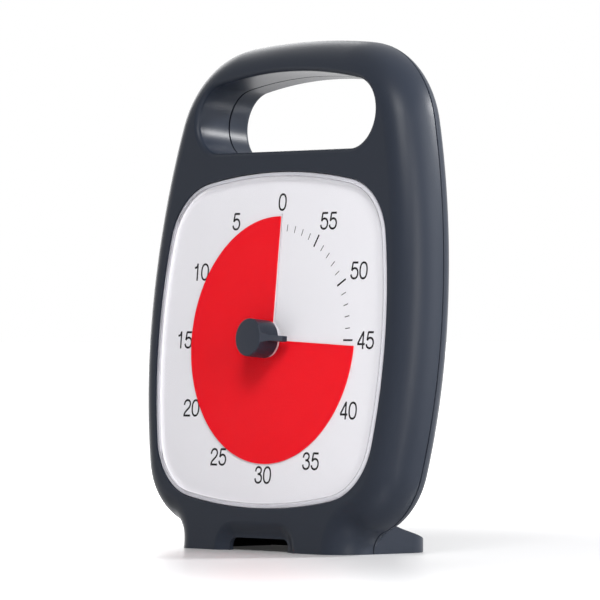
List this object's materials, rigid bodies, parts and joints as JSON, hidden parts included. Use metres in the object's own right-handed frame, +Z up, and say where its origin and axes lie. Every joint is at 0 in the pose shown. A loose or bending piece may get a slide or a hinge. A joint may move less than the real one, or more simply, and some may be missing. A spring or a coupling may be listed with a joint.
{
  "type": "visual countdown timer",
  "caption": "Leaning tabletop countdown timer with a carrying handle, a round time disc behind a clear window and a central setting knob.",
  "frame": {"origin": "under the middle of the object's bounding box, on the surface it stands on", "axes": "+X to the right of the dial as seen from the front, +Y to the back, +Z up; the dial faces -Y and leans back 5.2 degrees"},
  "size_m": [0.1446, 0.0474, 0.1777],
  "materials": {
    "case_plastic": "fine moulded texture, dark slate grey",
    "knob_plastic": "satin moulded plastic, charcoal",
    "clear_plastic": "clear polished plastic",
    "dial_plastic": "white moulded plastic with printed scale",
    "disc_sheet": "thin red plastic sheet",
    "gear_plastic": "natural acetal",
    "housing_plastic": "natural moulded plastic",
    "steel": "plain steel",
    "brass": "spring brass",
    "copper_wire": "enamelled copper winding",
    "magnet": "sintered magnet",
    "board": "green circuit board",
    "black_plastic": "black moulded plastic",
    "battery_skin": "plain dark battery sleeve"
  },
  "bodies": {
    "housing": {"front_case": "case_plastic", "rear_case": "case_plastic", "case_screws": "steel", "lens": "clear_plastic", "dial_tray": "dial_plastic", "tray_screws": "steel", "stator": "steel", "coil_core": "steel", "coil": "copper_wire", "movement_bracket": "housing_plastic", "bracket_screws": "steel", "movement_front": "housing_plastic", "movement_back": "housing_plastic", "movement_screws": "steel", "circuit_board": "board", "board_screws": "steel", "control_chip": "black_plastic", "capacitors": "black_plastic", "volume_pot": "steel", "speaker": "black_plastic", "battery": "battery_skin", "plus_contact": "steel", "spring_contact": "steel"},
    "spindle_set": {"spindle": "steel", "knob": "knob_plastic", "time_disc": "disc_sheet", "clutch_spring": "brass", "spindle_clip": "steel"},
    "wheel_set": {"spindle_wheel": "gear_plastic"},
    "third_arbor": {"third_wheel": "gear_plastic"},
    "second_arbor": {"second_wheel": "gear_plastic"},
    "first_arbor": {"first_wheel": "gear_plastic"},
    "rotor_arbor": {"motor_rotor": "magnet"},
    "volume_control": {"volume_dial": "knob_plastic", "volume_shaft": "steel"},
    "door_set": {"battery_door": "case_plastic", "door_screws": "steel"}
  },
  "joints": [
    {"name": "knob_turn", "type": "hinge", "parent": "housing", "child": "spindle_set", "pos_m": [0, -0.01185, 0.0732], "axis": [0, 0.9959, -0.0906], "range_deg": [-92.7, 267.3], "deforming": ["time_disc"]},
    {"name": "rotor_spin", "type": "hinge", "parent": "housing", "child": "rotor_arbor", "pos_m": [0.01502, -0.00265, 0.07489], "axis": [0, 0.9959, -0.0906], "continuous": true},
    {"name": "first_spin", "type": "hinge", "parent": "housing", "child": "first_arbor", "pos_m": [0.01372, -0.00198, 0.08225], "axis": [0, 0.9959, -0.0906], "continuous": true},
    {"name": "second_spin", "type": "hinge", "parent": "housing", "child": "second_arbor", "pos_m": [0.00414, -0.00167, 0.08572], "axis": [0, 0.9959, -0.0906], "continuous": true},
    {"name": "third_spin", "type": "hinge", "parent": "housing", "child": "third_arbor", "pos_m": [-0.00926, -0.00188, 0.08337], "axis": [0, 0.9959, -0.0906], "continuous": true},
    {"name": "wheel_spin", "type": "hinge", "parent": "housing", "child": "wheel_set", "pos_m": [0, -0.00288, 0.07238], "axis": [0, 0.9959, -0.0906], "continuous": true},
    {"name": "volume_turn", "type": "hinge", "parent": "housing", "child": "volume_control", "pos_m": [0, 0.01512, 0.11794], "axis": [0, 0.9959, -0.0906], "range_deg": [-135, 135]},
    {"name": "door_lift", "type": "slide", "parent": "housing", "child": "door_set", "axis": [0, 0.9959, -0.0906], "range_m": [0, 0.03]}
  ],
  "couplings": [
    {"joint": "first_spin", "follows": "rotor_spin", "ratio": -0.25},
    {"joint": "second_spin", "follows": "rotor_spin", "ratio": 0.033333},
    {"joint": "third_spin", "follows": "rotor_spin", "ratio": -0.0044444},
    {"joint": "wheel_spin", "follows": "rotor_spin", "ratio": 0.00055556}
  ]
}
